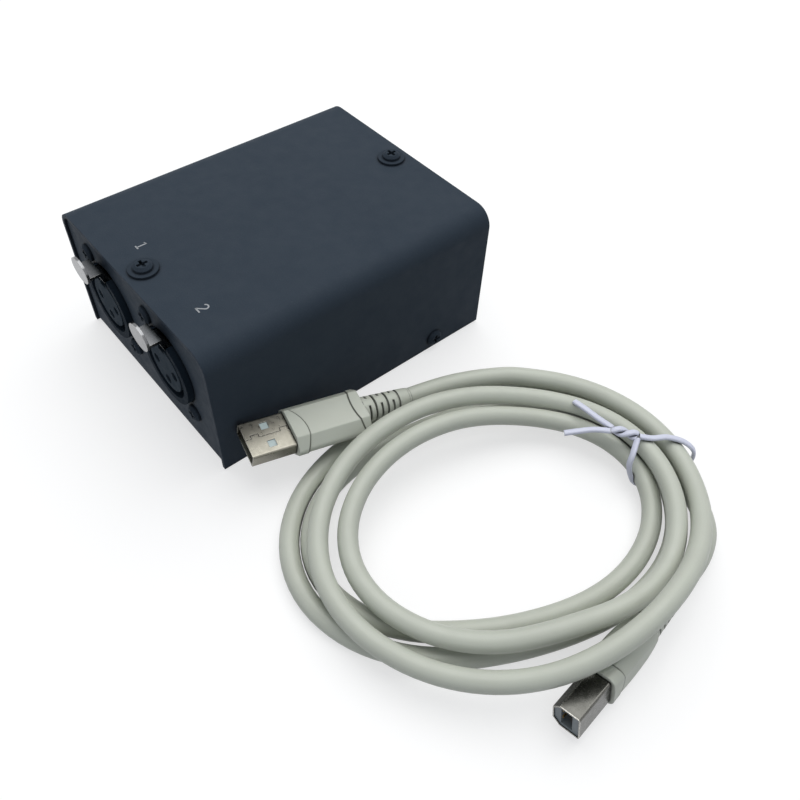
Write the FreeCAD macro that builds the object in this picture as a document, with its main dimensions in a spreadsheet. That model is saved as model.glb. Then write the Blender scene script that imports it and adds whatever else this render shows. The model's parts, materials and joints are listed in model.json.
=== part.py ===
import FreeCAD, Part
import Sketcher
import math
import os
from FreeCAD import Placement, Rotation, Vector

# Two-outlet lighting interface box with its coiled lead.
# Millimetres. Origin at the centre of the base, +Z up, sockets at -Y, lead on the +X side.

# Driving dimensions
SIZES = {
    # enclosure
    "box_wide": 80, "box_long": 100, "box_tall": 45,
    "cover_wall": 1.2, "cover_bend": 6, "cover_lift": 0.4,
    "plate_wall": 1, "seam": 0.1, "panel_inset": 0.8, "panel_bend": 1.5,
    "flange_deep": 12, "skirt_tall": 8, "end_gap": 0.3,
    # fasteners
    "screw_bore": 3.4, "thread_bore": 3.1, "shank_wide": 3, "shank_long": 6,
    "washer_wide": 8.5, "washer_thick": 0.7, "head_wide": 5.5, "head_tall": 1.4,
    "slot_wide": 0.9, "slot_long": 3.2, "slot_deep": 1.1,
    "top_screw_inset": 6, "side_screw_inset": 20, "side_screw_z": 4.5,
    # three-pole outlets
    "flange_space": 7.6, "socket_z": 24.7, "ring_wide": 23.6, "ring_wall": 2.1,
    "ring_proud": 2, "ring_gap": 0.2, "socket_deep": 17.2, "flange_thick": 2.5,
    "socket_corner": 3, "ear_gap": 0.75, "ear_inset": 3.5, "insert_gap": 1.9,
    "insert_face": 1.8, "insert_seat": 3.2, "contact_inset": 3.05, "contact_wide": 2.9,
    "contact_bore": 2.45,
    "contact_deep": 11, "leg_wide": 0.8, "leg_hole": 1.4, "leg_step": 0.9,
    "key_wide": 3, "key_deep": 1.4, "hood_wide": 12, "hood_rise": 3.7, "hood_long": 14,
    "hood_wall": 1.3, "pin_wide": 1.6,
    # latch lever
    "lever_wide": 8, "lever_thick": 0.9, "lever_gap": 0.25, "lever_reach": 9.6,
    "slot_side": 0.3, "neck_rise": 3.35, "neck_front": 6, "neck_back": 3.1,
    "thumb_wide": 9.4, "thumb_tall": 7.6, "thumb_thick": 0.8, "thumb_rise": 1.5,
    "hook_tall": 1, "hook_long": 1.6, "pivot_y": 2.7, "pivot_rise": 2.05,
    "eye_wide": 3.2, "eye_bore": 1.7, "spring_wide": 5, "spring_thick": 0.3,
    # square inlet on the back
    "inlet_wide": 12.04, "inlet_tall": 11, "inlet_long": 16.4, "inlet_wall": 0.35,
    "inlet_gap": 0.2, "inlet_proud": 0.4, "inlet_play": 0.35, "inlet_core": 2.9,
    "inlet_floor": 1.3, "inlet_pin_wide": 1.2, "inlet_pin_thick": 0.3, "inlet_pin_short": 1.3,
    # board
    "board_gap": 2.7, "board_end_gap": 0.7, "board_z": 7, "board_thick": 1.6,
    "post_inset": 4, "post_end": 10, "post_wide": 5.5, "post_shank": 4.2,
    "chip_wide": 9, "chip_tall": 1.5, "driver_wide": 4, "driver_long": 5.2,
    "foot_long": 1, "foot_wide": 0.5, "foot_tall": 0.3, "driver_y": 12,
    "can_wide": 11, "can_deep": 4.6, "can_tall": 3.5, "can_round": 1, "can_x": 10,
    "tank_wide": 6.3, "tank_tall": 9, "tank_x": 24, "tank_y": 20,
    "pill_long": 3.2, "pill_wide": 1.6, "pill_tall": 0.6, "pill_pitch": 6, "pill_y": 14,
    # lead and moulded strain reliefs
    "cord_wide": 5.5, "shell_wall": 0.3, "shell_in": 5.5, "grip_step": 0.3,
    "grip_soft": 2.4, "crease_soft": 0.4, "relief_root": 8.2, "relief_tip": 6.2,
    "relief_core": 5.9, "relief_groove": 0.7, "relief_slot": 0.7, "relief_web": 2.6,
    # flat plug
    "a_wide": 12, "a_tall": 4.5, "a_out": 12.9, "a_round": 0.6, "a_window": 2.3,
    "a_window_x": 6.6, "a_window_y": 3.05, "a_seam_line": 0.2, "a_seam_deep": 0.12,
    "a_tab_long": 2.2, "a_tab_out": 1.1, "a_tab_x": 1.8, "a_tab_pitch": 8.4,
    "a_tongue_back": 0.9, "a_tongue_tall": 1.9, "a_tongue_gap": 0.6, "a_pin_back": 1.5,
    "a_pin_wide": 1.2, "a_pin_long": 8, "a_pin_thick": 0.15, "a_pin_pitch": 2.2,
    "a_grip_wide": 16, "a_grip_tall": 8, "a_grip_long": 22.5, "a_flat_wide": 9.6,
    "a_side_tall": 1.4, "a_side_soft": 1.5, "a_collar_reach": 4.3, "a_collar_round": 10.7,
    "a_collar_off": 2.5, "a_tail_reach": 3.4, "a_tail_round": 19.2, "a_relief_long": 15.6,
    # square plug
    "b_wide": 7.3, "b_tall": 8, "b_bevel": 1.9, "b_out": 12.3, "b_rim": 0.8,
    "b_hollow_wide": 3, "b_hollow_tall": 5.8, "b_hollow_deep": 8.6, "b_pin_long": 7.2,
    "b_pin_back": 1, "b_grip_long": 19.5, "b_flat_wide": 9.6, "b_flat_tall": 10.4,
    "b_barrel_wide": 10.8, "b_barrel_tall": 11.6, "b_barrel_long": 40, "b_barrel_at": 8,
    "b_collar_reach": 4.1, "b_collar_round": 9, "b_collar_off": 2, "b_tail_reach": 2.6,
    "b_relief_long": 17.2,
    # twist tie
    "tie_wide": 2.2, "tie_thick": 0.7, "tie_slack": 0.3, "tie_knot_long": 6.6, "tie_tail_long": 13,
}


class Size:
    """A length with its number and the sheet expression that gives it."""

    def __init__(self, value, text):
        self.value = value
        self.text = text

    def joined(self, other, sign, value):
        return Size(value, "(%s %s %s)" % (self.text, sign, lift(other).text))

    def __add__(self, other):
        return self.joined(other, "+", self.value + lift(other).value)

    def __sub__(self, other):
        return self.joined(other, "-", self.value - lift(other).value)

    def __mul__(self, other):
        return self.joined(other, "*", self.value * lift(other).value)

    def __truediv__(self, other):
        return self.joined(other, "/", self.value / lift(other).value)

    def __neg__(self):
        return Size(-self.value, "(0 - %s)" % self.text)


def lift(item):
    return item if isinstance(item, Size) else Size(float(item), repr(item))


class Sheet:
    """Sizes read by name from the spreadsheet."""

    def __getattr__(self, name):
        return Size(float(SIZES[name]), "sizes." + name)


doc = FreeCAD.newDocument("lighting_interface")
sheet = doc.addObject("Spreadsheet::Sheet", "sizes")
for row, (name, value) in enumerate(SIZES.items(), 1):
    sheet.set("A%d" % row, name)
    sheet.set("B%d" % row, str(value))
    sheet.setAlias("B%d" % row, name)
doc.recompute()
s = Sheet()
ZERO = lift(0)

# Sizes that follow from the driving ones
RING_BORE = s.ring_wide - s.ring_wall * 2
PANEL_HOLE = s.ring_wide + s.ring_gap * 2
HOOD_TOP = s.ring_wide / 2 + s.hood_rise
LEVER_LEVEL = RING_BORE / 2 + s.lever_gap
NECK_LEVEL = LEVER_LEVEL + s.neck_rise
THUMB_LEVEL = NECK_LEVEL + s.thumb_rise
PIVOT_LEVEL = LEVER_LEVEL + s.pivot_rise
EAR_SHARES = (0.621, 0.7843)
EAR_REACH = s.ring_wide / 2 + s.head_wide / 2 + s.ear_gap
EAR_X = EAR_REACH * EAR_SHARES[0]
EAR_Z = EAR_REACH * EAR_SHARES[1]
FLANGE_WIDE = (EAR_X + s.ear_inset) * 2
FLANGE_TALL = (EAR_Z + s.ear_inset) * 2
SOCKET_PITCH = FLANGE_WIDE + s.flange_space
INSERT_WIDE = RING_BORE - s.insert_gap * 2
CONTACT_CIRCLE = INSERT_WIDE / 2 - s.contact_inset
TOP_SCREW_Y = s.box_long / 2 - s.top_screw_inset
SIDE_SCREW_Y = s.box_long / 2 - s.side_screw_inset
PANEL_FACE = s.box_long / 2 - s.panel_inset
BOARD_HALF = s.box_wide / 2 - s.cover_wall - s.seam - s.plate_wall - s.board_gap
BOARD_BACK = PANEL_FACE - s.plate_wall - s.board_end_gap
BOARD_TOP = s.board_z + s.board_thick
POST_X = BOARD_HALF - s.post_inset
POST_Y = s.box_long / 2 - s.post_end
nodes = []


def bind(item, **sizes):
    """Bind properties of an object to sheet expressions."""
    for name, size in sizes.items():
        item.setExpression(name, lift(size).text)


def place(item, x=ZERO, y=ZERO, z=ZERO, turn=None):
    if turn:
        item.Placement = Placement(Vector(), turn)
    for axis, size in zip("xyz", (x, y, z)):
        item.setExpression("Placement.Base." + axis, lift(size).text)


def keep(item, label):
    item.Label = label
    nodes.append(item)
    return item


# Part design helpers
def new_body(name):
    return doc.addObject("PartDesign::Body", name)


def sketch_on(body, role, level=ZERO):
    """A sketch on one of the body's own origin planes, moved along its normal."""
    drawn = body.newObject("Sketcher::SketchObject", body.Name + "_sketch")
    plane = next(item for item in body.Origin.OriginFeatures if item.Role == role)
    drawn.AttachmentSupport = [(plane, "")]
    drawn.MapMode = "FlatFace"
    drawn.setExpression("AttachmentOffset.Base.z", lift(level).text)
    return drawn


def hold(drawn, part, end, across, up):
    """Fix one point of a sketch at bound distances from its axes."""
    for kind, size, axis in (("DistanceX", across, -2), ("DistanceY", up, -1)):
        if abs(size.value) < 1e-9:
            drawn.addConstraint(Sketcher.Constraint("PointOnObject", part, end, axis))
        elif size.value > 0:
            index = drawn.addConstraint(Sketcher.Constraint(kind, -1, 1, part, end, size.value))
            drawn.setExpression("Constraints[%d]" % index, size.text)
        else:
            index = drawn.addConstraint(Sketcher.Constraint(kind, part, end, -1, 1, -size.value))
            drawn.setExpression("Constraints[%d]" % index, (-size).text)


def outline(drawn, points):
    """A closed outline of straight sides through bound points."""
    points = [(lift(across), lift(up)) for across, up in points]
    first = drawn.GeometryCount
    count = len(points)
    for index, (across, up) in enumerate(points):
        next_across, next_up = points[(index + 1) % count]
        start = Vector(across.value, up.value, 0)
        end = Vector(next_across.value, next_up.value, 0)
        drawn.addGeometry(Part.LineSegment(start, end), False)
    for index, (across, up) in enumerate(points):
        before = first + (index - 1) % count
        drawn.addConstraint(Sketcher.Constraint("Coincident", before, 2, first + index, 1))
        hold(drawn, first + index, 1, across, up)


def ring(drawn, across, up, wide):
    """A circle of bound diameter."""
    across, up, wide = lift(across), lift(up), lift(wide)
    centre = Vector(across.value, up.value, 0)
    drawn.addGeometry(Part.Circle(centre, Vector(0, 0, 1), wide.value / 2), False)
    index = drawn.GeometryCount - 1
    hold(drawn, index, 3, across, up)
    size = drawn.addConstraint(Sketcher.Constraint("Radius", index, wide.value / 2))
    drawn.setExpression("Constraints[%d]" % size, (wide / 2).text)


def rectangle(drawn, left, bottom, right, top):
    outline(drawn, [(left, bottom), (right, bottom), (right, top), (left, top)])


def pad(body, drawn, length, back=False):
    made = body.newObject("PartDesign::Pad", body.Name + "_pad")
    made.Profile = drawn
    made.Reversed = back
    bind(made, Length=length)
    doc.recompute()
    return made


def pocket(body, drawn, length, back=False):
    """Cut a sketch into the body and check that it took material away."""
    before = body.Shape.Volume
    made = body.newObject("PartDesign::Pocket", body.Name + "_pocket")
    made.Profile = drawn
    made.Reversed = back
    bind(made, Length=length)
    doc.recompute()
    if not body.Shape.Volume < before:
        raise ValueError(made.Name + " removed nothing")
    return made


def revolve(body, drawn, axis):
    made = body.newObject("PartDesign::Revolution", body.Name + "_turned")
    made.Profile = drawn
    made.ReferenceAxis = (drawn, [axis])
    made.Angle = 360
    doc.recompute()
    return made


def round_edges(body, radius, wanted):
    """Round the edges whose middle point passes the test."""
    tip = body.Tip
    names = []
    for index, edge in enumerate(tip.Shape.Edges, 1):
        if wanted(edge):
            names.append("Edge%d" % index)
    made = body.newObject("PartDesign::Fillet", body.Name + "_round")
    made.Base = (tip, names)
    bind(made, Radius=radius)
    doc.recompute()
    return made


def middle(edge):
    return edge.valueAt((edge.FirstParameter + edge.LastParameter) / 2)


def near(value, target):
    return abs(value - lift(target).value) < 1e-3


def runs_along(edge, axis):
    if len(edge.Vertexes) < 2:
        return False
    way = edge.Vertexes[1].Point - edge.Vertexes[0].Point
    return abs(way.normalize().dot(axis)) > 0.999


X = Vector(1, 0, 0)
Y = Vector(0, 1, 0)
Z = Vector(0, 0, 1)


# Primitive helpers
def block(name, corner, extent):
    made = doc.addObject("Part::Box", name)
    bind(made, Length=extent[0], Width=extent[1], Height=extent[2])
    place(made, *corner)
    return made


def rod(name, base, wide, length, turn=None):
    made = doc.addObject("Part::Cylinder", name)
    bind(made, Radius=lift(wide) / 2, Height=length)
    place(made, *base, turn=turn)
    return made


def cut(name, base, tool):
    made = doc.addObject("Part::Cut", name)
    made.Base = base
    made.Tool = tool
    return made


def together(name, items):
    made = doc.addObject("Part::Compound", name)
    made.Links = items
    return made


def fused(name, items):
    made = doc.addObject("Part::MultiFuse", name)
    made.Shapes = items
    return made


# Enclosure
def cover():
    """Folded top and long sides."""
    body = keep(new_body("cover"), "cover")
    half = s.box_wide / 2
    inner = half - s.cover_wall
    drawn = sketch_on(body, "XZ_Plane", -s.box_long / 2)
    outline(drawn, [
        (-half, s.cover_lift), (-inner, s.cover_lift), (-inner, s.box_tall - s.cover_wall),
        (inner, s.box_tall - s.cover_wall), (inner, s.cover_lift), (half, s.cover_lift),
        (half, s.box_tall), (-half, s.box_tall)])
    pad(body, drawn, s.box_long)
    round_edges(body, s.cover_bend, lambda e: runs_along(e, Y) and near(middle(e).z, s.box_tall))
    round_edges(body, s.cover_bend - s.cover_wall, lambda e: runs_along(e, Y) and near(
        middle(e).z, s.box_tall - s.cover_wall))
    drawn = sketch_on(body, "XY_Plane", s.box_tall)
    for side in (-TOP_SCREW_Y, TOP_SCREW_Y):
        ring(drawn, 0, side, s.screw_bore)
    pocket(body, drawn, s.cover_wall + s.seam)
    drawn = sketch_on(body, "YZ_Plane", half)
    for side in (-SIDE_SCREW_Y, SIDE_SCREW_Y):
        ring(drawn, side, s.side_screw_z, s.screw_bore)
    pocket(body, drawn, s.box_wide)


def chassis():
    """Base plate with both end panels, their top flanges and the low side skirts."""
    body = keep(new_body("chassis"), "chassis")
    half = s.box_wide / 2 - s.cover_wall - s.seam
    face = PANEL_FACE
    top = s.box_tall - s.cover_wall - s.seam
    wall = s.plate_wall
    lip = face - s.flange_deep
    drawn = sketch_on(body, "YZ_Plane", -half)
    outline(drawn, [
        (-face, 0), (face, 0), (face, top), (lip, top), (lip, top - wall),
        (face - wall, top - wall), (face - wall, wall), (wall - face, wall),
        (wall - face, top - wall), (-lip, top - wall), (-lip, top), (-face, top)])
    pad(body, drawn, half + half)
    drawn = sketch_on(body, "XZ_Plane", -(face - wall - s.end_gap))
    for side in (-1, 1):
        outer = half * side
        rectangle(drawn, outer - wall * side, 0, outer, wall + s.skirt_tall)
    pad(body, drawn, (face - wall - s.end_gap) * 2)
    corner = s.cover_bend - s.cover_wall
    round_edges(body, corner, lambda e: runs_along(e, Y) and near(middle(e).z, top)
                and near(abs(middle(e).x), half))
    round_edges(body, s.panel_bend, lambda e: runs_along(e, X) and near(middle(e).z, 0)
                and near(abs(middle(e).y), face))
    drawn = sketch_on(body, "XZ_Plane", face)
    for side in (-1, 1):
        centre = SOCKET_PITCH / 2 * side
        ring(drawn, centre, s.socket_z, PANEL_HOLE)
        ring(drawn, centre - EAR_X, s.socket_z + EAR_Z, s.screw_bore)
        ring(drawn, centre + EAR_X, s.socket_z - EAR_Z, s.screw_bore)
    pocket(body, drawn, wall)
    drawn = sketch_on(body, "XZ_Plane", wall - face)
    reach = s.inlet_wide / 2 + s.inlet_gap
    low = BOARD_TOP
    rectangle(drawn, -reach, low - s.inlet_gap, reach, low + s.inlet_tall + s.inlet_gap)
    pocket(body, drawn, wall)
    drawn = sketch_on(body, "XY_Plane", top)
    for side in (-TOP_SCREW_Y, TOP_SCREW_Y):
        ring(drawn, 0, side, s.thread_bore)
    pocket(body, drawn, wall)
    drawn = sketch_on(body, "YZ_Plane", half)
    for side in (-SIDE_SCREW_Y, SIDE_SCREW_Y):
        ring(drawn, side, s.side_screw_z, s.thread_bore)
    pocket(body, drawn, half * 2)
    drawn = sketch_on(body, "XY_Plane", wall)
    for across in (-POST_X, POST_X):
        for along in (-POST_Y, POST_Y):
            ring(drawn, across, along, s.post_shank + s.seam)
    pocket(body, drawn, wall)


def screw(name, at, turn, washer, long):
    """A cross-recess screw: shank, optional washer ring and domed head."""
    body = new_body(name)
    shank = s.shank_wide / 2
    head = s.head_wide / 2
    base = s.washer_thick if washer else ZERO
    top = base + s.head_tall
    points = [(0, -long), (shank, -long), (shank, 0)]
    if washer:
        points += [(s.washer_wide / 2, 0), (s.washer_wide / 2, base)]
    points += [(head, base), (head, top - s.head_tall / 2), (head / 2 + shank / 3, top), (0, top)]
    drawn = sketch_on(body, "XZ_Plane")
    outline(drawn, points)
    revolve(body, drawn, "V_Axis")
    drawn = sketch_on(body, "XY_Plane", top)
    arm = s.slot_long / 2
    thin = s.slot_wide / 2
    outline(drawn, [
        (-arm, -thin), (-thin, -thin), (-thin, -arm), (thin, -arm), (thin, -thin), (arm, -thin),
        (arm, thin), (thin, thin), (thin, arm), (-thin, arm), (-thin, thin), (-arm, thin)])
    pocket(body, drawn, s.slot_deep)
    place(body, *at, turn=turn)
    return body


TO_FRONT = Rotation(X, 90)


def screws():
    top = [screw("top_screw_%d" % index, (0, side, s.box_tall), Rotation(), True, s.shank_long)
           for index, side in enumerate((-TOP_SCREW_Y, TOP_SCREW_Y), 1)]
    keep(together("top_screws", top), "top_screws")
    sides = []
    for flank in (-1, 1):
        for side in (-SIDE_SCREW_Y, SIDE_SCREW_Y):
            at = (s.box_wide / 2 * flank, side, s.side_screw_z)
            sides.append(screw("side_screw_%d" % (len(sides) + 1), at, Rotation(Y, 90 * flank),
                               False, s.shank_long / 2))
    keep(together("side_screws", sides), "side_screws")
    face = -PANEL_FACE
    ears = []
    for side in (-1, 1):
        for way in (-1, 1):
            at = (SOCKET_PITCH / 2 * side + EAR_X * way, face, s.socket_z - EAR_Z * way)
            ears.append(screw("ear_screw_%d" % (len(ears) + 1), at, TO_FRONT, False,
                              s.plate_wall + s.flange_thick))
    keep(together("xlr_screws", ears), "xlr_screws")
    low = []
    for across in (-POST_X, POST_X):
        for along in (-POST_Y, POST_Y):
            at = (across, along, BOARD_TOP)
            low.append(screw("board_screw_%d" % (len(low) + 1), at, Rotation(), False,
                             s.shank_long - s.plate_wall))
    keep(together("board_screws", low), "board_screws")


# Three-pole outlets, each built about its own axis at the panel's outer face
def at_socket(body, side):
    place(body, SOCKET_PITCH / 2 * side, -PANEL_FACE, s.socket_z)


def outlet_shell(index, side):
    name = "xlr_shell_%d" % index
    body = keep(new_body(name), name)
    drawn = sketch_on(body, "XZ_Plane", s.ring_proud)
    ring(drawn, 0, 0, s.ring_wide)
    pad(body, drawn, s.ring_proud + s.socket_deep, back=True)
    drawn = sketch_on(body, "XZ_Plane", -s.plate_wall)
    wide = FLANGE_WIDE / 2
    tall = FLANGE_TALL / 2
    rectangle(drawn, -wide, -tall, wide, tall)
    pad(body, drawn, s.flange_thick, back=True)
    round_edges(body, s.socket_corner, lambda e: runs_along(e, Y) and near(abs(middle(e).x), wide))
    drawn = sketch_on(body, "XZ_Plane", -s.plate_wall)
    wide = s.hood_wide / 2
    rectangle(drawn, -wide, INSERT_WIDE / 2 + s.hood_wall, wide, HOOD_TOP)
    pad(body, drawn, s.hood_long - s.plate_wall, back=True)
    drawn = sketch_on(body, "XZ_Plane", s.ring_proud)
    ring(drawn, 0, 0, RING_BORE)
    pocket(body, drawn, s.ring_proud + s.socket_deep - s.insert_seat)
    drawn = sketch_on(body, "XZ_Plane", -(s.socket_deep - s.insert_seat))
    ring(drawn, 0, 0, RING_BORE)
    pocket(body, drawn, s.insert_seat)
    wide = s.lever_wide / 2 + s.slot_side
    low = RING_BORE / 2 - s.hood_wall
    drawn = sketch_on(body, "XZ_Plane", s.ring_proud)
    rectangle(drawn, -wide, low, wide, s.ring_wide / 2 + s.hood_wall)
    pocket(body, drawn, s.ring_proud + s.plate_wall)
    drawn = sketch_on(body, "XZ_Plane", -s.plate_wall)
    rectangle(drawn, -wide, low, wide, HOOD_TOP - s.hood_wall)
    pocket(body, drawn, s.hood_long - s.plate_wall - s.hood_wall)
    drawn = sketch_on(body, "YZ_Plane", s.hood_wide / 2)
    ring(drawn, s.pivot_y, PIVOT_LEVEL, s.pin_wide)
    pocket(body, drawn, s.hood_wide)
    drawn = sketch_on(body, "XZ_Plane", -s.plate_wall)
    ring(drawn, -EAR_X, EAR_Z, s.thread_bore)
    ring(drawn, EAR_X, -EAR_Z, s.thread_bore)
    pocket(body, drawn, s.flange_thick)
    at_socket(body, side)


def contact_spots():
    """Left, bottom and right of the insert, seen from the front."""
    circle = CONTACT_CIRCLE
    return [(-circle, ZERO), (ZERO, -circle), (circle, ZERO)]


def leg_place(spot):
    """How far a contact's leg stands behind the panel's outer face."""
    return s.socket_deep + s.contact_wide / 2 + s.leg_step * spot


def outlet_insert(index, side):
    name = "xlr_insert_%d" % index
    body = keep(new_body(name), name)
    drawn = sketch_on(body, "XZ_Plane", s.insert_face)
    ring(drawn, 0, 0, INSERT_WIDE)
    pad(body, drawn, s.insert_face + s.socket_deep, back=True)
    drawn = sketch_on(body, "XZ_Plane", -(s.socket_deep - s.insert_seat))
    ring(drawn, 0, 0, RING_BORE)
    pad(body, drawn, s.insert_seat, back=True)
    drawn = sketch_on(body, "XZ_Plane", s.insert_face)
    for across, up in contact_spots():
        ring(drawn, across, up, s.contact_wide)
    pocket(body, drawn, s.insert_face + s.socket_deep)
    drawn = sketch_on(body, "XZ_Plane", s.insert_face)
    key = s.key_wide / 2
    rim = INSERT_WIDE / 2
    rectangle(drawn, -key, rim - s.key_deep, key, rim)
    pocket(body, drawn, s.insert_face + s.contact_deep)
    at_socket(body, side)


def outlet_contacts(index, side):
    """Three sleeves in the insert, with tails that bend down into the board."""
    name = "xlr_contacts_%d" % index
    items = []
    back = s.socket_deep
    drop = s.socket_z - s.board_z
    for spot, (across, up) in enumerate(contact_spots(), 1):
        label = "%s_%d" % (name, spot)
        sleeve = rod(label + "_sleeve", (across, back - s.contact_deep, up), s.contact_wide,
                     s.contact_deep, turn=Rotation(X, -90))
        bore = rod(label + "_bore", (across, back - s.contact_deep, up), s.contact_bore,
                   s.contact_deep - s.insert_seat, turn=Rotation(X, -90))
        wide = s.leg_wide
        thin = wide / 2
        reach = leg_place(spot)
        tail = block(label + "_tail", (across - thin, back, up - thin), (wide, reach - back, wide))
        leg = block(label + "_leg", (across - thin, reach - thin, -drop), (wide, wide, up + drop + thin))
        items.append(fused(label, [cut(label + "_tube", sleeve, bore), tail, leg]))
    group = keep(together(name, items), name)
    at_socket(group, side)


def latch(index, side):
    """One bent strip: thumb plate, neck, lever with hook and pivot eye."""
    name = "latch_%d" % index
    body = keep(new_body(name), name)
    thick = s.lever_thick
    low = LEVER_LEVEL
    neck = NECK_LEVEL
    front = -s.neck_front
    back = -s.neck_back
    end = s.lever_reach
    drawn = sketch_on(body, "YZ_Plane", -(s.lever_wide / 2))
    outline(drawn, [
        (front, neck), (back, neck), (back + s.hook_tall, low), (end - s.hook_long, low),
        (end - s.hook_long, low - s.hook_tall), (end, low), (end, low + thick),
        (back + s.hook_tall + thick, low + thick), (back + thick, neck + thick), (front, neck + thick)])
    pad(body, drawn, s.lever_wide)
    drawn = sketch_on(body, "YZ_Plane", -(s.lever_wide / 2))
    ring(drawn, s.pivot_y, PIVOT_LEVEL, s.eye_wide)
    pad(body, drawn, s.lever_wide)
    drawn = sketch_on(body, "YZ_Plane", s.lever_wide / 2)
    ring(drawn, s.pivot_y, PIVOT_LEVEL, s.eye_bore)
    pocket(body, drawn, s.lever_wide)
    drawn = sketch_on(body, "XZ_Plane", s.neck_front)
    wide = s.thumb_wide / 2
    ellipse = Part.Ellipse(Vector(0, THUMB_LEVEL.value, 0), wide.value, s.thumb_tall.value / 2)
    drawn.addGeometry(ellipse, False)
    hold(drawn, 0, 3, ZERO, THUMB_LEVEL)
    drawn.exposeInternalGeometry(0)
    made = pad(body, drawn, s.thumb_thick)
    made.Refine = True
    at_socket(body, side)


def latch_pin(index, side):
    name = "latch_pin_%d" % index
    pin = keep(rod(name, (0, 0, 0), s.pin_wide, s.hood_wide, turn=Rotation(Y, 90)), name)
    place(pin, SOCKET_PITCH / 2 * side - s.hood_wide / 2,
          s.pivot_y - PANEL_FACE, s.socket_z + PIVOT_LEVEL,
          turn=Rotation(Y, 90))


def latch_spring(index, side):
    """Bowed leaf between the lever's tail and the hood's roof."""
    name = "latch_spring_%d" % index
    body = keep(new_body(name), name)
    thin = s.spring_thick
    low = LEVER_LEVEL + s.lever_thick
    top = HOOD_TOP - s.hood_wall
    front = s.pivot_y + s.eye_wide
    back = s.hood_long - s.hood_wall - s.slot_side
    drawn = sketch_on(body, "YZ_Plane", -(s.spring_wide / 2))
    outline(drawn, [
        (front, top - thin), (back - thin, top - thin), (back - s.hook_tall - thin, low + thin),
        (front + s.hook_long, low + thin), (front + s.hook_long, low), (back - s.hook_tall, low),
        (back, top), (front, top)])
    pad(body, drawn, s.spring_wide)
    at_socket(body, side)


# Square inlet on the board
def inlet():
    low = BOARD_TOP
    face = PANEL_FACE + s.inlet_proud
    wide = s.inlet_wide / 2
    body = keep(new_body("usb_socket_shell"), "usb_socket_shell")
    drawn = sketch_on(body, "XZ_Plane", -face)
    rectangle(drawn, -wide, low, wide, low + s.inlet_tall)
    pad(body, drawn, s.inlet_long)
    wall = s.inlet_wall
    drawn = sketch_on(body, "XZ_Plane", -face)
    rectangle(drawn, wall - wide, low + wall, wide - wall, low + s.inlet_tall - wall)
    pocket(body, drawn, s.inlet_long, back=True)
    body = keep(new_body("usb_socket_insert"), "usb_socket_insert")
    face = face - wall
    drawn = sketch_on(body, "XZ_Plane", -face)
    rectangle(drawn, wall - wide, low + wall, wide - wall, low + s.inlet_tall - wall)
    pad(body, drawn, s.inlet_long - wall)
    middle_z = low + s.inlet_tall / 2
    half = s.b_wide / 2 + s.inlet_play
    tall = s.b_tall / 2 + s.inlet_play
    bevel = s.b_bevel
    drawn = sketch_on(body, "XZ_Plane", -face)
    outline(drawn, [
        (-half, middle_z - tall), (half, middle_z - tall), (half, middle_z + tall - bevel),
        (half - bevel, middle_z + tall), (bevel - half, middle_z + tall),
        (-half, middle_z + tall - bevel)])
    pocket(body, drawn, s.b_out, back=True)
    drawn = sketch_on(body, "XZ_Plane", s.b_out - face)
    core = s.inlet_core
    rectangle(drawn, -core, middle_z - core / 2, core, middle_z + core / 2)
    long = s.b_out - s.inlet_floor
    pad(body, drawn, long, back=True)
    items = []
    thin = s.inlet_pin_thick
    for up in (middle_z + core / 2, middle_z - core / 2 - thin):
        for across in (-1, 1):
            left = core / 2 * across - s.inlet_pin_wide / 2
            items.append(block("inlet_contact_%d" % (len(items) + 1), (
                left, face - s.b_out, up), (s.inlet_pin_wide, long - s.inlet_pin_short, thin)))
    keep(together("usb_socket_contacts", items), "usb_socket_contacts")


# Board and what it carries
def board():
    body = keep(new_body("circuit_board"), "circuit_board")
    half = BOARD_HALF
    drawn = sketch_on(body, "XY_Plane", s.board_z)
    rectangle(drawn, -half, -POST_Y - s.screw_bore, half, BOARD_BACK)
    for across in (-POST_X, POST_X):
        for along in (-POST_Y, POST_Y):
            ring(drawn, across, along, s.screw_bore)
    for side in (-1, 1):
        for spot, (across, up) in enumerate(contact_spots(), 1):
            ring(drawn, SOCKET_PITCH / 2 * side + across, leg_place(spot) - PANEL_FACE, s.leg_hole)
    pad(body, drawn, s.board_thick)
    posts = []
    for across in (-POST_X, POST_X):
        for along in (-POST_Y, POST_Y):
            post = new_body("board_standoff_%d" % (len(posts) + 1))
            drawn = sketch_on(post, "XZ_Plane")
            bore = s.thread_bore / 2
            outline(drawn, [
                (bore, 0), (s.post_shank / 2, 0), (s.post_shank / 2, s.plate_wall),
                (s.post_wide / 2, s.plate_wall), (s.post_wide / 2, s.board_z), (bore, s.board_z)])
            revolve(post, drawn, "V_Axis")
            place(post, across, along, 0)
            posts.append(post)
    keep(together("board_standoffs", posts), "board_standoffs")


def footed_case(name, corner, wide, long, pairs):
    """A chip: its case on the board with a row of feet along both sides."""
    left, front, low = corner
    items = [block(name + "_case", (left, front, low + s.foot_tall), (wide, long, s.chip_tall))]
    for row in range(pairs):
        along = front + long * (row + 1) / (pairs + 1) - s.foot_wide / 2
        for edge in (left - s.foot_long, left + wide - s.foot_wide):
            items.append(block("%s_foot_%d" % (name, len(items)), (edge, along, low), (
                s.foot_long + s.foot_wide, s.foot_wide, s.foot_tall * 2)))
    return items


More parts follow.
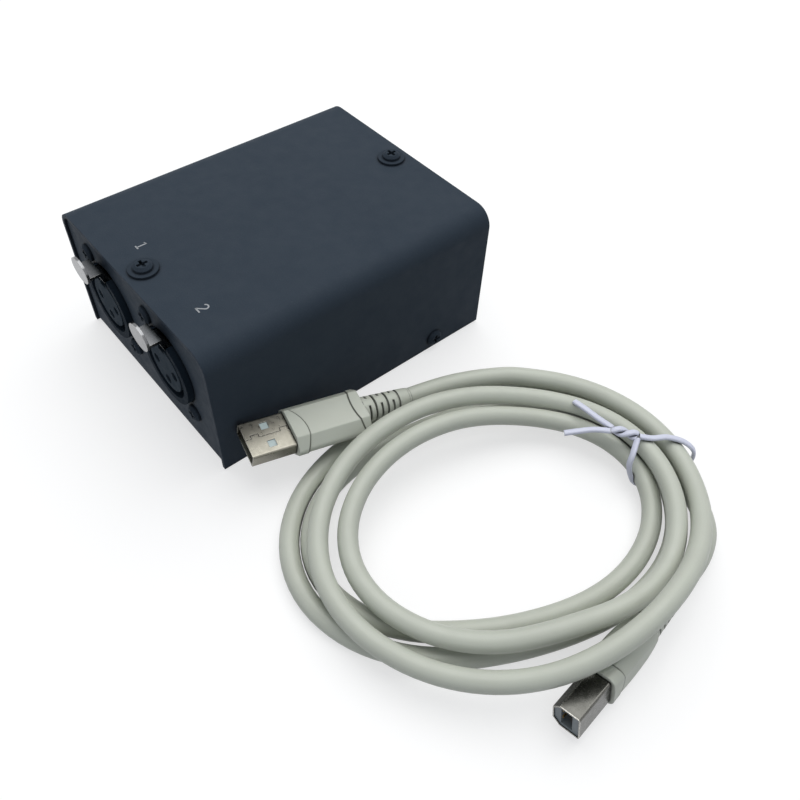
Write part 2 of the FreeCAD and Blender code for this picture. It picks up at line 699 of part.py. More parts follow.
def chips():
    chip = s.chip_wide
    keep(fused("microcontroller", footed_case(
        "controller", (-chip / 2, ZERO, BOARD_TOP), chip, chip, 8)), "microcontroller")
    drivers = []
    for side in (-1, 1):
        name = "driver_%d" % (len(drivers) + 1)
        left = SOCKET_PITCH / 2 * side - s.driver_wide / 2
        drivers.append(fused(name, footed_case(
            name, (left, -s.driver_y, BOARD_TOP), s.driver_wide, s.driver_long, 4)))
    keep(together("line_drivers", drivers), "line_drivers")
    can = block("crystal_can", (s.can_x, 0, BOARD_TOP), (s.can_deep, s.can_wide, s.can_tall))
    rounded = doc.addObject("Part::Fillet", "crystal")
    rounded.Base = can
    doc.recompute()
    radius = s.can_round.value
    rounded.Edges = [(index, radius, radius) for index, edge in enumerate(can.Shape.Edges, 1)
                     if runs_along(edge, Z)]
    keep(rounded, "crystal")
    cans = [rod("capacitor_%d" % (side + 2), (s.tank_x * side, s.tank_y, BOARD_TOP),
                s.tank_wide, s.tank_tall) for side in (-1, 1)]
    keep(together("capacitors", cans), "capacitors")
    small = []
    for column in range(3):
        for side in (-1, 1):
            small.append(block("resistor_%d" % (len(small) + 1), (
                s.pill_pitch * side * (column + 1), s.pill_y, BOARD_TOP), (
                s.pill_wide, s.pill_long, s.pill_tall)))
    keep(together("resistors", small), "resistors")


# Plugs, each built from its mouth along +X and then placed
PLUG_A = Placement(Vector(46.35, -46.22, 11.4), Rotation(77.9, 6.9, 6.0))
PLUG_B = Placement(Vector(151.96, -29.63, 7.0), Rotation(95.6, 1.9, -12.7))


def flat_section(inset):
    """Eight-sided outline of the flat grip: wide top and bottom, narrow sides."""
    half = s.a_grip_wide / 2 - inset
    flat = s.a_flat_wide / 2
    low = s.a_grip_tall / 2 - s.a_side_tall / 2
    high = s.a_grip_tall / 2 + s.a_side_tall / 2
    top = s.a_grip_tall - inset
    return [(-half, low), (-flat, inset), (flat, inset), (half, low),
            (half, high), (flat, top), (-flat, top), (-half, high)]


def plug_a():
    """Flat plug: folded shell with catch windows, tongue with four contacts, moulded grip."""
    low = (s.a_grip_tall - s.a_tall) / 2
    top = low + s.a_tall
    half = s.a_wide / 2
    wall = s.shell_wall
    long = s.a_out + s.shell_in
    body = keep(new_body("usb_a_shell"), "usb_a_shell")
    drawn = sketch_on(body, "YZ_Plane")
    rectangle(drawn, -half, low, half, top)
    pad(body, drawn, long)
    round_edges(body, s.a_round, lambda e: runs_along(e, X))
    drawn = sketch_on(body, "YZ_Plane")
    rectangle(drawn, wall - half, low + wall, half - wall, top - wall)
    pocket(body, drawn, long, back=True)
    drawn = sketch_on(body, "XY_Plane", top)
    window = s.a_window / 2
    for across in (-s.a_window_y, s.a_window_y):
        rectangle(drawn, s.a_window_x - window, across - window, s.a_window_x + window, across + window)
    pocket(body, drawn, s.a_tall)
    line = s.a_seam_line / 2
    out = s.a_tab_out
    upper = [(0, line)]
    lower = [(0, -line)]
    for first in (s.a_tab_x, s.a_tab_x + s.a_tab_pitch):
        last = first + s.a_tab_long
        for edge, way in ((first, -1), (last, 1)):
            wide = edge + line * way
            slim = edge - line * way
            upper += [(wide, line), (wide, out + line)][::-way]
            lower += [(slim, -line), (slim, out - line)][::-way]
    drawn = sketch_on(body, "XY_Plane", top)
    outline(drawn, upper + [(s.a_out, line), (s.a_out, -line)] + lower[::-1])
    pocket(body, drawn, s.a_seam_deep)
    body = keep(new_body("usb_a_tongue"), "usb_a_tongue")
    drawn = sketch_on(body, "YZ_Plane", s.a_tongue_back)
    roof = top - wall
    rectangle(drawn, s.a_tongue_gap - half, roof - s.a_tongue_tall, half - s.a_tongue_gap, roof)
    pad(body, drawn, long - s.a_tongue_back)
    strips = []
    for index in range(4):
        across = s.a_pin_pitch * (index - 1.5) - s.a_pin_wide / 2
        strips.append(block("usb_a_contact_%d" % (index + 1), (
            s.a_pin_back, across, roof - s.a_tongue_tall - s.a_pin_thick), (
            s.a_pin_long, s.a_pin_wide, s.a_pin_thick)))
    keep(together("usb_a_contacts", strips), "usb_a_contacts")
    start = s.a_out
    end = start + s.a_grip_long
    core = new_body("usb_a_grip")
    drawn = sketch_on(core, "YZ_Plane", start)
    outline(drawn, flat_section(s.grip_step))
    pad(core, drawn, s.a_grip_long)
    soften(core)
    reach = s.a_collar_reach
    front = collar("usb_a_collar", flat_section(ZERO), start, reach, rod(
        "usb_a_collar_curve", (start + reach - s.a_collar_round, -s.a_collar_off, 0),
        s.a_collar_round * 2, s.a_grip_tall))
    reach = s.a_tail_reach
    rear = collar("usb_a_tail", flat_section(ZERO), end - reach, reach, rod(
        "usb_a_tail_curve", (end - reach + s.a_tail_round, 0, 0), s.a_tail_round * 2, s.a_grip_tall))
    parts = [core, front, rear] + relief("usb_a", end, s.a_grip_tall / 2, s.a_relief_long)
    keep(fused("usb_a_body", parts), "usb_a_body")
    for item in nodes[-4:]:
        item.Placement = PLUG_A


def soften(body):
    """Round the long edges of a grip: the outer ones well, the creases a little."""
    far = max(abs(vertex.Y) for vertex in body.Shape.Vertexes)
    round_edges(body, s.a_side_soft, lambda e: runs_along(e, X) and near(abs(middle(e).y), far))
    round_edges(body, s.crease_soft, lambda e: runs_along(e, X) and near(
        abs(middle(e).y), s.a_flat_wide / 2))


def collar(name, section, start, long, curve):
    """A raised band of the grip whose edge follows a curved cutter."""
    body = new_body(name)
    drawn = sketch_on(body, "YZ_Plane", start)
    outline(drawn, section)
    pad(body, drawn, long)
    soften(body)
    band = doc.addObject("Part::Common", name + "_band")
    band.Base = body
    band.Tool = curve
    return band


def relief(name, start, level, long):
    """Tapered strain relief: four ribs with two slots each round a thinner core."""
    count = 4
    pitch = long / count
    core = rod(name + "_relief_core", (start, 0, level), s.relief_core, long, turn=Rotation(Y, 90))
    parts = [core]
    fall = (s.relief_root - s.relief_tip) / (count * 2)
    for index in range(count):
        root = s.relief_root / 2 - fall * index
        left = start + pitch * index
        rib = doc.addObject("Part::Cone", "%s_rib_%d" % (name, index + 1))
        bind(rib, Radius1=root, Radius2=root - fall, Height=pitch - s.relief_groove)
        place(rib, left, 0, level, turn=Rotation(Y, 90))
        slots = []
        if index + 1 < count:
            middle_x = left + (pitch - s.relief_groove - s.relief_slot) / 2
            for side, edge in ((1, s.relief_web / 2), (-1, -s.relief_root)):
                slots.append(block("%s_slot_%d_%d" % (name, index + 1, side + 2), (
                    middle_x, edge, level - s.relief_root / 2), (
                    s.relief_slot, s.relief_root - s.relief_web / 2, s.relief_root)))
            rib = cut("%s_slotted_%d" % (name, index + 1), rib, together(
                "%s_slots_%d" % (name, index + 1), slots))
        parts.append(rib)
    return parts


def plug_b():
    """Square plug with two bevelled corners, built about its own axis and lying on its side."""
    low = -(s.b_tall / 2)
    top = s.b_tall / 2
    half = s.b_wide / 2
    bevel = s.b_bevel
    wall = s.shell_wall
    long = s.b_out + s.shell_in

    def section(inset):
        return [(inset - half, low + inset), (half - bevel - inset / 2, low + inset),
                (half - inset, low + bevel + inset / 2), (half - inset, top - bevel - inset / 2),
                (half - bevel - inset / 2, top - inset), (inset - half, top - inset)]

    body = keep(new_body("usb_b_shell"), "usb_b_shell")
    drawn = sketch_on(body, "YZ_Plane")
    outline(drawn, section(ZERO))
    pad(body, drawn, long)
    round_edges(body, s.a_round, lambda e: runs_along(e, X) and near(middle(e).y, -half))
    drawn = sketch_on(body, "YZ_Plane")
    outline(drawn, section(wall))
    pocket(body, drawn, long, back=True)
    body = keep(new_body("usb_b_core"), "usb_b_core")
    drawn = sketch_on(body, "YZ_Plane", wall)
    outline(drawn, section(wall))
    pad(body, drawn, long - wall)
    drawn = sketch_on(body, "YZ_Plane", wall)
    across = s.b_hollow_wide / 2
    up = s.b_hollow_tall / 2
    rectangle(drawn, -across, -up, across, up)
    pocket(body, drawn, s.b_hollow_deep, back=True)
    strips = []
    thin = s.a_pin_thick
    for side in (-1, 1):
        for level in (-1, 1):
            left = (across - thin / 2) * side - thin / 2
            strips.append(block("usb_b_contact_%d" % (len(strips) + 1), (
                s.b_pin_back, left, up / 2 * level - s.a_pin_wide / 2), (
                s.b_pin_long, thin, s.a_pin_wide)))
    keep(together("usb_b_contacts", strips), "usb_b_contacts")
    start = s.b_out
    end = start + s.b_grip_long
    core = new_body("usb_b_grip")
    drawn = sketch_on(core, "YZ_Plane", start)
    wide = s.b_flat_wide / 2
    tall = s.b_flat_tall / 2
    rectangle(drawn, -wide, -tall, wide, tall)
    pad(core, drawn, s.b_grip_long)
    round_edges(core, s.grip_soft, lambda e: runs_along(e, X))
    barrel = doc.addObject("Part::Ellipsoid", "usb_b_barrel")
    bind(barrel, Radius1=s.b_barrel_tall / 2, Radius2=s.b_barrel_long / 2, Radius3=s.b_barrel_wide / 2)
    place(barrel, start + s.b_barrel_at, 0, 0)
    shaped = doc.addObject("Part::Common", "usb_b_shaped")
    shaped.Base = core
    shaped.Tool = barrel
    band = new_body("usb_b_collar")
    drawn = sketch_on(band, "YZ_Plane", start)
    wide = half + s.b_rim + s.grip_step
    tall = top + s.b_rim + s.grip_step
    rectangle(drawn, -wide, -tall, wide, tall)
    reach = s.b_collar_reach
    pad(band, drawn, reach)
    round_edges(band, s.grip_soft, lambda e: runs_along(e, X))
    front = doc.addObject("Part::Common", "usb_b_collar_band")
    front.Base = band
    front.Tool = rod("usb_b_collar_curve", (
        start + reach - s.b_collar_round, tall, s.b_collar_off), s.b_collar_round * 2, tall * 2,
        turn=Rotation(X, 90))
    tail = rod("usb_b_tail", (end - s.b_tail_reach, 0, 0), s.relief_root + s.grip_step * 2,
               s.b_tail_reach, turn=Rotation(Y, 90))
    parts = [shaped, front, tail] + relief("usb_b", end, ZERO, s.b_relief_long)
    keep(fused("usb_b_body", parts), "usb_b_body")
    for item in nodes[-4:]:
        item.Placement = PLUG_B


# Lead: coil by formula, free stretches through points chosen by hand
COIL = {
    "centre": (104.0, 0.0), "long_way": 71.0, "half_long": 43.5, "half_short": 32.0,
    "pitch": 6.4, "start": 62.0, "end": 130.0, "turns_in": 1.8389, "half_turn": 0.5,
    "lower_fan": 9.8, "lower_fan_at": 250.0, "upper_fan": 10.0, "upper_fan_at": 310.0,
    "lower_shift": (-2.1, 0.3), "upper_shift": (1.4, -1.8), "shift_fade": 1.1,
    "level": 2.8, "layer": 6.25, "lift": 1.1, "tie_at": 69.0,
    "hump": 5.6, "second_hump": 1.6, "hump_at": 4.0, "hump_reach": 80.0, "quarter": 90.0,
    "side_hump": 4.6, "inner_side_hump": 3.8, "side_hump_at": 184.0,
}
LEAD_A = [(64.3, 23.9, 9.4), (59.9, 14.0, 9.2)]
LEAD_B = [(146.7, 27.4, 5.3), (143.55, 36.55, 4.9), (138.7, 42.4, 4.3)]


def smooth(share):
    return share * share * (3 - 2 * share)


def coil_point(degrees):
    """A point of the coil at an angle counted from the start without wrapping."""
    c = COIL
    turn = (degrees - c["start"]) / 360
    total = 4 + (c["end"] - c["start"]) / 360
    turns_out = total - c["turns_in"] - c["half_turn"]
    step = (turn - c["turns_in"]) / c["half_turn"]
    if step < 0:
        spread, level = c["turns_in"] - turn, 0.0
    elif step > 1:
        spread, level = turn - c["turns_in"] - c["half_turn"], 1.0
    else:
        spread, level = c["half_turn"] * (step * step - step), smooth(step)
    share = max(spread, 0) / turns_out
    angle = math.radians(degrees)

    def facing(at, power):
        return ((1 + math.cos(angle - math.radians(at))) / 2) ** power

    grow = c["pitch"] * spread
    grow += (1 - level) * c["lower_fan"] * facing(c["lower_fan_at"], 4) * share
    grow += level * c["upper_fan"] * facing(c["upper_fan_at"], 2) * share ** 2
    long_way = math.radians(c["long_way"])
    a = c["half_long"] + grow
    b = c["half_short"] + grow
    way = math.atan2(math.sin(angle - long_way) / b, math.cos(angle - long_way) / a)
    along, across = a * math.cos(way), b * math.sin(way)
    fade = level * (1 - c["shift_fade"] * share)
    x = c["centre"][0] + along * math.cos(long_way) - across * math.sin(long_way)
    y = c["centre"][1] + along * math.sin(long_way) + across * math.cos(long_way)
    x += c["lower_shift"][0] * (1 - level) + c["upper_shift"][0] * fade
    y += c["lower_shift"][1] * (1 - level) + c["upper_shift"][1] * fade
    z = c["level"] + level * c["layer"] + c["lift"] * facing(c["tie_at"], 1)
    for lap, at, rise in ((3, c["hump_at"], c["hump"]), (4, c["hump_at"], c["hump"] + c["second_hump"]),
                          (2, c["side_hump_at"], c["inner_side_hump"]),
                          (3, c["side_hump_at"], c["side_hump"])):
        off = abs(degrees - at - 360 * lap) / c["hump_reach"]
        if off < 1:
            z += rise * (1 - 2 * off * off if off < 0.5 else 2 * (1 - off) ** 2)
    return Vector(x, y, z)


def coil_way(degrees):
    reach = 0.01
    return (coil_point(degrees + reach) - coil_point(degrees - reach)).normalize()


def tangent_arc(start, corner, end):
    """The arc from start to end whose end tangents meet at the corner."""
    middle_point = (start + end) / 2
    rise = corner - middle_point
    half = (end - start).Length / 2
    if rise.Length < 1e-6:
        return Part.LineSegment(start, end)
    bend = math.atan2(rise.Length, half)
    crown = middle_point + rise.normalize() * (half * math.tan(bend / 2))
    return Part.Arc(start, crown, end)


def biarc(start, way_in, end, way_out):
    """Two arcs from point to point that leave and arrive along the given ways."""
    gap = end - start
    ways = way_in + way_out
    spread = 2 * (1 - way_in.dot(way_out))
    reach = gap.dot(ways)
    if spread < 1e-9:
        arm = gap.dot(gap) / (2 * reach)
    else:
        arm = (math.sqrt(reach * reach + spread * gap.dot(gap)) - reach) / spread
    first = start + way_in * arm
    second = end - way_out * arm
    joint = (first + second) / 2
    return [tangent_arc(start, first, joint), tangent_arc(joint, second, end)]


def coil_path():
    """Straight ends of one diameter and biarcs of a quarter turn between."""
    first = COIL["start"]
    last = 360 * 4 + COIL["end"]
    stops = [first]
    angle = COIL["hump_at"] + COIL["quarter"]
    while angle < last:
        stops.append(angle)
        angle += COIL["quarter"]
    stops.append(last)
    end = s.cord_wide.value
    pieces = []
    start = coil_point(first)
    pieces.append(Part.LineSegment(start - coil_way(first) * end, start))
    for before, after in zip(stops, stops[1:]):
        pieces += biarc(coil_point(before), coil_way(before), coil_point(after), coil_way(after))
    finish = coil_point(last)
    pieces.append(Part.LineSegment(finish, finish + coil_way(last) * end))
    return pieces


def lead_path(points):
    """Straight runs joined by arcs as large as their two runs allow."""
    points = [Vector(*point) for point in points]
    pieces = []
    radii = []
    here = points[0]
    for before, corner, after in zip(points, points[1:], points[2:]):
        way_in = (corner - before).normalize()
        way_out = (after - corner).normalize()
        half = way_in.getAngle(way_out) / 2
        reach = 0.45 * min((corner - before).Length, (after - corner).Length)
        start = corner - way_in * reach
        end = corner + way_out * reach
        pieces.append(Part.LineSegment(here, start))
        pieces.append(tangent_arc(start, corner, end))
        radii.append(round(reach / math.tan(half), 1))
        here = end
    pieces.append(Part.LineSegment(here, points[-1]))
    return pieces, radii


def tube(pieces, wide):
    """A round tube along a path, with its length and a check of its volume."""
    path = Part.Wire([piece.toShape() for piece in pieces])
    start = pieces[0].StartPoint
    way = (pieces[0].EndPoint - start).normalize()
    section = Part.Wire([Part.Circle(start, way, wide / 2).toShape()])
    sweep = Part.BRepOffsetAPI.MakePipeShell(path)
    sweep.add(section, False, False)
    sweep.build()
    sweep.makeSolid()
    shape = sweep.shape()
    whole = math.pi * wide * wide / 4 * path.Length
    if not 0.99 < shape.Volume / whole < 1.01:
        raise ValueError("tube volume is off: %.3f" % (shape.Volume / whole))
    return shape, path


def least_gap(path, wide, reach):
    """Least gap of a tube to itself, measured between points further apart along it."""
    step = 1.0
    points = path.discretize(Distance=step)
    skip = int(reach / step)
    least = None
    for index, point in enumerate(points):
        for other in points[index + skip:]:
            gap = (point - other).Length
            if least is None or gap < least:
                least = gap
    return least - wide


def lead():
    wide = s.cord_wide.value
    pieces = coil_path()
    coil_start = pieces[0].StartPoint
    coil_end = pieces[-1].EndPoint
    long_a = s.a_out + s.a_grip_long + s.a_relief_long
    long_b = s.b_out + s.b_grip_long + s.b_relief_long
    end_a = PLUG_A.multVec(Vector(long_a.value, 0, s.a_grip_tall.value / 2))
    end_b = PLUG_B.multVec(Vector(long_b.value, 0, 0))
    total = 0
    shape, path = tube(pieces, wide)
    coil = path
    print("coil", round(path.Length, 1), "mm, least gap to itself",
          round(least_gap(path, wide, wide * 5), 2), "mm")
    total += path.Length
    item = doc.addObject("Part::Feature", "cable_coil")
    item.Shape = shape
    keep(item, "cable_coil")
    for name, route in (("cable_lead_a", [coil_end] + LEAD_A + [end_a]),
                        ("cable_lead_b", [end_b] + LEAD_B + [coil_start])):
        pieces, radii = lead_path(route)
        shape, path = tube(pieces, wide)
        print(name, [tuple(round(number, 2) for number in Vector(*point)) for point in route],
              "radii", radii, "length", round(path.Length, 1))
        total += path.Length
        item = doc.addObject("Part::Feature", name)
        item.Shape = shape
        keep(item, name)
    print("cord length", round(total, 1))
    return coil


TIE_KNOT_WAY = (-1, 0, 0.15)
TIE_TAIL_WAYS = [(-1, -0.15, 0.05), (-1, 0.45, 0.2)]


def twist_tie(coil):
    """Paper-covered wire strip: a band round the strands, a twist and two tails."""
    angle = COIL["tie_at"]
    along = coil_way(angle)
    along.z = 0
    along.normalize()
    away = Vector(along.y, -along.x, 0)
    centre = coil_point(angle)
    centre.z = 0
    reach = POST_Y.value / 2
    corners = [centre - away * reach, centre + away * reach]
    corners += [corner + Z * reach for corner in reversed(corners)]
    face = Part.Face(Part.makePolygon(corners + corners[:1]))
    strands = [vertex.Point for vertex in coil.section(face).Vertexes]
    reaches = [(strand - centre).dot(away) for strand in strands]
    wide = s.cord_wide.value / 2 + s.tie_slack.value
    thick = s.tie_thick.value
    strip = s.tie_wide.value
    near_side = min(reaches) - wide
    far_side = max(reaches) + wide
    low = min(strand.z for strand in strands) - wide
    high = max(strand.z for strand in strands) + wide
    long = far_side - near_side
    outer = Part.makeBox(long + thick * 2, strip, high - low + thick * 2,
                         Vector(near_side - thick, -strip / 2, low - thick))
    inner = Part.makeBox(long, strip, high - low, Vector(near_side, -strip / 2, low))
    outer = outer.makeFillet(wide, [edge for edge in outer.Edges if runs_along(edge, Y)])
    inner = inner.makeFillet(wide - thick, [edge for edge in inner.Edges if runs_along(edge, Y)])
    shape = outer.cut(inner)
    top = high + thick / 2
    start = Vector(near_side + long / 2, 0, top + strip / 2)
    knot_way = Vector(*TIE_KNOT_WAY).normalize()
    knot_long = s.tie_knot_long.value
    knot = Part.makeCylinder(strip / 2, knot_long, start, knot_way)
    shape = shape.fuse(knot)
    fork = start + knot_way * (knot_long - thick)
    for way in TIE_TAIL_WAYS:
        tail = Part.makeBox(s.tie_tail_long.value, strip, thick, Vector(0, -strip / 2, -thick / 2))
        tail.Placement = Placement(fork, Rotation(X, Vector(*way)))
        shape = shape.fuse(tail)
    shape.Placement = Placement(centre, Rotation(away, along.negative(), Z))
    item = doc.addObject("Part::Feature", "twist_tie")
    item.Shape = shape
    keep(item, "twist_tie")


def main():
    cover()
    chassis()
    screws()
    for index, side in ((1, -1), (2, 1)):
        outlet_shell(index, side)
        outlet_insert(index, side)
        outlet_contacts(index, side)
        latch(index, side)
        latch_pin(index, side)
        latch_spring(index, side)
    inlet()
    board()
    chips()
    plug_a()
    plug_b()
    twist_tie(lead())
    doc.recompute()
    for item in doc.Objects:
        if "Invalid" in item.State or "Error" in item.State:
            raise ValueError("failed: %s %s" % (item.Name, item.State))
    os.makedirs("parts", exist_ok=True)
    for item in nodes:
        shape = item.Shape
        if shape.isNull() or not shape.isValid():
            raise ValueError("bad shape: " + item.Label)
        shape.exportStep("parts/%s.step" % item.Label)
    print(len(nodes), "nodes")


main()
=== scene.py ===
import json
import math
import bpy
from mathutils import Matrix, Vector


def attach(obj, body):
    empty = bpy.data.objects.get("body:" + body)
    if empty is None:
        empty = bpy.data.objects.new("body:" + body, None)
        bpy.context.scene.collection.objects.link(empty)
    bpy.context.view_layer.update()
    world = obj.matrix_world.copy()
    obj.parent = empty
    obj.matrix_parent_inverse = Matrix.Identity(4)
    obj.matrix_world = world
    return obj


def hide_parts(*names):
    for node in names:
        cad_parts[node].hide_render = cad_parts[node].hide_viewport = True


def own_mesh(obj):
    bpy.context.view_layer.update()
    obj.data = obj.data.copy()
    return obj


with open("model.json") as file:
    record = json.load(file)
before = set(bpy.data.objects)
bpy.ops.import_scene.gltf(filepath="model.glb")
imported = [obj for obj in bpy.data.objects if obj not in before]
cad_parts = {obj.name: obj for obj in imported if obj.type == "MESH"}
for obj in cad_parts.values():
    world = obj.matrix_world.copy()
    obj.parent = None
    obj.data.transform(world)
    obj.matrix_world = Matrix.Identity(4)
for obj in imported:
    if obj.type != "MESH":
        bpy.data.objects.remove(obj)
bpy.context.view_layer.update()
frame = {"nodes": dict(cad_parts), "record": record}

scene = bpy.context.scene
nodes = frame["nodes"]
MM = 0.001
UP = Vector((0, 0, 1))

# Camera, as solved on the box's edges in the photograph
CAMERA_AT = (0.17274, -0.10449, 0.19317)
CAMERA_TURN = (40.4182, -1.8982, 49.8380)
CAMERA_LENS = 36.59
CAMERA_SENSOR = 36
CAMERA_SEES = (0.01, 20)

camera = bpy.data.objects.new("camera", bpy.data.cameras.new("camera"))
scene.collection.objects.link(camera)
camera.location = CAMERA_AT
camera.rotation_euler = [math.radians(turn) for turn in CAMERA_TURN]
camera.data.sensor_width = CAMERA_SENSOR
camera.data.lens = CAMERA_LENS
camera.data.clip_start, camera.data.clip_end = CAMERA_SEES
scene.camera = camera
scene.view_settings.view_transform = "Standard"

# The lead's route, in millimetres and degrees, but its whole length in metres
CORD_WIDE = 5.5
END_A = (57.47, 3.67, 9.22)
END_B = (147.18, 19.11, 5.38)
LEAD_A = [(64.3, 23.9, 9.4), (59.9, 14.0, 9.2)]
LEAD_B = [(146.7, 27.4, 5.3), (143.55, 36.55, 4.9), (138.7, 42.4, 4.3)]
# The coil spirals in on the floor, turns half a lap and spirals out one layer up.
COIL = {
    "centre": (104.0, 0.0), "long_way": 71.0, "half_long": 43.5, "half_short": 32.0,
    "pitch": 6.4, "start": 62.0, "end": 130.0, "turns_in": 1.8389, "half_turn": 0.5,
    "lower_fan": 9.8, "lower_fan_at": 250.0, "lower_fan_power": 4, "lower_shift": (-2.1, 0.3),
    "upper_fan": 10.0, "upper_fan_at": 310.0, "upper_fan_power": 2, "upper_shift": (1.4, -1.8),
    "shift_fade": 1.1, "level": 2.8, "layer": 6.25, "lift": 1.1, "tie_at": 69.0,
}
# Angles along the coil count on from lap to lap.
LAP = 360
WHOLE_LAPS = 4
LAP_POINTS = 24
SMALL_TURN = 0.01
# Where an upper lap climbs over plugs and laps: at degrees, millimetres up
HUMPS = ((3 * LAP + 4.0, 5.6), (4 * LAP + 4.0, 7.2), (2 * LAP + 184.0, 3.8),
         (3 * LAP + 184.0, 4.6))
HUMP_REACH = 80.0
# Where a lap lies further out or higher: at degrees, reach, millimetres out and up
NUDGES = (
    (240, 42, 1.0, 0), (315, 60, -2.0, 0), (398, 52, 1.9, 0),
    (604, 62, 7.0, 0), (680, 50, -0.8, 0), (750, 60, 1.2, 0),
    (1035, 60, 1.2, 0), (1094, 44, 2.5, -2.4), (1146, 48, -1.6, 0.4),
    (1405, 52, 1.3, 0), (1448, 45, -0.7, 2.2), (1492, 58, -1.9, -1.2), (1575, 40, 1.2, 0),
)


def smooth(share):
    return share * share * (3 - 2 * share)


def hill(off):
    """One at nought, falling to nought at one along two parabolas."""
    if off >= 1:
        return 0.0
    return 1 - 2 * off * off if off < 0.5 else 2 * (1 - off) ** 2


def coil_point(degrees):
    """A point of the coil at an angle counted from the start without wrapping."""
    turn = (degrees - COIL["start"]) / LAP
    total = WHOLE_LAPS + (COIL["end"] - COIL["start"]) / LAP
    turns_out = total - COIL["turns_in"] - COIL["half_turn"]
    step = (turn - COIL["turns_in"]) / COIL["half_turn"]
    if step < 0:
        spread, level = COIL["turns_in"] - turn, 0.0
    elif step > 1:
        spread, level = turn - COIL["turns_in"] - COIL["half_turn"], 1.0
    else:
        spread, level = COIL["half_turn"] * (step * step - step), smooth(step)
    share = max(spread, 0) / turns_out
    angle = math.radians(degrees)

    def facing(at, power):
        return ((1 + math.cos(angle - math.radians(at))) / 2) ** power

    lower_fan = COIL["lower_fan"] * facing(COIL["lower_fan_at"], COIL["lower_fan_power"])
    upper_fan = COIL["upper_fan"] * facing(COIL["upper_fan_at"], COIL["upper_fan_power"])
    grow = COIL["pitch"] * spread
    grow += (1 - level) * lower_fan * share + level * upper_fan * share ** 2
    rise = 0.0
    for at, reach, out, up in NUDGES:
        near = smooth(max(1 - abs(degrees - at) / reach, 0))
        grow += out * near
        rise += up * near
    long_way = math.radians(COIL["long_way"])
    long_half = COIL["half_long"] + grow
    short_half = COIL["half_short"] + grow
    way = math.atan2(math.sin(angle - long_way) / short_half,
                     math.cos(angle - long_way) / long_half)
    along, across = long_half * math.cos(way), short_half * math.sin(way)
    fade = level * (1 - COIL["shift_fade"] * share)
    x = COIL["centre"][0] + along * math.cos(long_way) - across * math.sin(long_way)
    y = COIL["centre"][1] + along * math.sin(long_way) + across * math.cos(long_way)
    x += COIL["lower_shift"][0] * (1 - level) + COIL["upper_shift"][0] * fade
    y += COIL["lower_shift"][1] * (1 - level) + COIL["upper_shift"][1] * fade
    z = COIL["level"] + level * COIL["layer"] + COIL["lift"] * facing(COIL["tie_at"], 1) + rise
    z += sum(up * hill(abs(degrees - at) / HUMP_REACH) for at, up in HUMPS)
    return Vector((x, y, z))


def coil_way(degrees):
    """The coil's direction, from two points close to each other."""
    return (coil_point(degrees + SMALL_TURN) - coil_point(degrees - SMALL_TURN)).normalized()


def cord_route():
    """Control points in millimetres from the square plug to the flat one."""
    first, last = COIL["start"], LAP * WHOLE_LAPS + COIL["end"]
    count = round((last - first) / LAP * LAP_POINTS)
    turns = [coil_point(first + (last - first) * step / count) for step in range(count + 1)]
    start = turns[0] - coil_way(first) * CORD_WIDE
    finish = turns[-1] + coil_way(last) * CORD_WIDE
    before = [Vector(point) for point in [END_B] + LEAD_B]
    after = [Vector(point) for point in LEAD_A + [END_A]]
    return before + [start] + turns + [finish] + after


def link(name, data, look, body="housing"):
    """A visible piece that rides on a body and material."""
    piece = bpy.data.objects.new(name, data)
    scene.collection.objects.link(piece)
    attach(piece, body)
    data.materials.append(look)
    return piece


# Smooth round tubes
TUBE_ORDER = 3
TUBE_STEPS = 5
TUBE_SIDES = 8


def nurbs(name, points, radius):
    """A round tube along a smooth spline through millimetre points."""
    curve = bpy.data.curves.new(name, "CURVE")
    curve.dimensions = "3D"
    spline = curve.splines.new("NURBS")
    spline.points.add(len(points) - 1)
    for item, point in zip(spline.points, points):
        item.co = (*(point * MM), 1)
        item.radius = radius * MM
    spline.order_u = TUBE_ORDER
    spline.use_endpoint_u = True
    spline.resolution_u = TUBE_STEPS
    # The points carry the radius in metres, so that the curve's box is right too.
    curve.bevel_depth = 1.0
    curve.bevel_resolution = TUBE_SIDES
    curve.use_fill_caps = True
    return curve


def centreline(curve):
    """Points of a curve's own line in millimetres, read from it with no bevel."""
    bare = curve.copy()
    bare.bevel_depth = 0
    holder = bpy.data.objects.new("bare", bare)
    scene.collection.objects.link(holder)
    bpy.context.view_layer.update()
    mesh = bpy.data.meshes.new_from_object(holder)
    found = [vertex.co / MM for vertex in mesh.vertices]
    bpy.data.objects.remove(holder)
    bpy.data.meshes.remove(mesh)
    bpy.data.curves.remove(bare)
    return found


# Shader nodes: lengths in metres, and scales of patterns per metre
BEVEL_SAMPLES = 4
CREASE_SAMPLES = 12
NOISE_ROUGH = 0.55
NOISE_LOW, NOISE_HIGH = 0.3, 0.7
# Cosines between the rounded and the flat normal where the edge colour begins and is full:
# rubbed paint, and a painted highlight on plate and vinyl
WEAR_AND_HIGHLIGHT_BEGINS, WEAR_AND_HIGHLIGHT_FULL = 0.98, 0.7
# Millimetres beside a groove's line up to which its painted shade is full and at which it has
# gone
GROOVE_DARK, GROOVE_GONE = 0.1, 0.26
GROOVE_SHARE = 0.85


def linear(red, green, blue):
    """Linear colour from 8-bit sRGB numbers."""
    return [((part / 255 + 0.055) / 1.055) ** 2.4 if part > 10 else part / 255 / 12.92
            for part in (red, green, blue)] + [1.0]


def darker(colour, share):
    return [part * share for part in colour[:3]] + [1.0]


def operation(tree, kind, name, *inputs):
    """A maths node whose inputs are outputs of other nodes or plain values."""
    node = tree.nodes.new(kind)
    node.operation = name
    for source, target in zip(inputs, node.inputs):
        if isinstance(source, bpy.types.NodeSocket):
            tree.links.new(source, target)
        else:
            target.default_value = source
    return node.outputs["Value" if name in ("LENGTH", "DOT_PRODUCT") else 0]


def scalar(tree, name, *inputs):
    return operation(tree, "ShaderNodeMath", name, *inputs)


